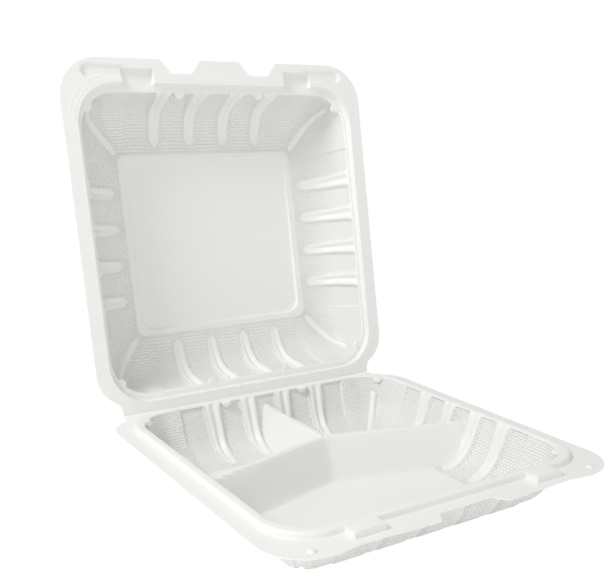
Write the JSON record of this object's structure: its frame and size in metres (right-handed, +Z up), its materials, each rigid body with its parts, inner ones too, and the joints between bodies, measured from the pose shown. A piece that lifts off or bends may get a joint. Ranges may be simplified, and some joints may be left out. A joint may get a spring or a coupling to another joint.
{
  "type": "hinged takeaway food container",
  "caption": "White thermoformed clamshell food box: a ribbed base with three compartments and a domed lid on a living hinge, open.",
  "frame": {"origin": "middle of the flat foot under the base, on the floor", "axes": "+Z up, -Y towards the latch side, +Y towards the hinge, X along the hinge"},
  "size_m": [0.23, 0.3032, 0.2619],
  "materials": {
    "tray_sheet": "satin white filled polypropylene",
    "lid_sheet": "satin white filled polypropylene"
  },
  "bodies": {
    "base": {"base_tray": "tray_sheet"},
    "lid": {"lid": "lid_sheet"}
  },
  "joints": [
    {"name": "lid_hinge", "type": "hinge", "parent": "base", "child": "lid", "pos_m": [0, 0.1125, 0.0325], "axis": [1, 0, 0], "range_deg": [-79.2, 100.8]}
  ]
}
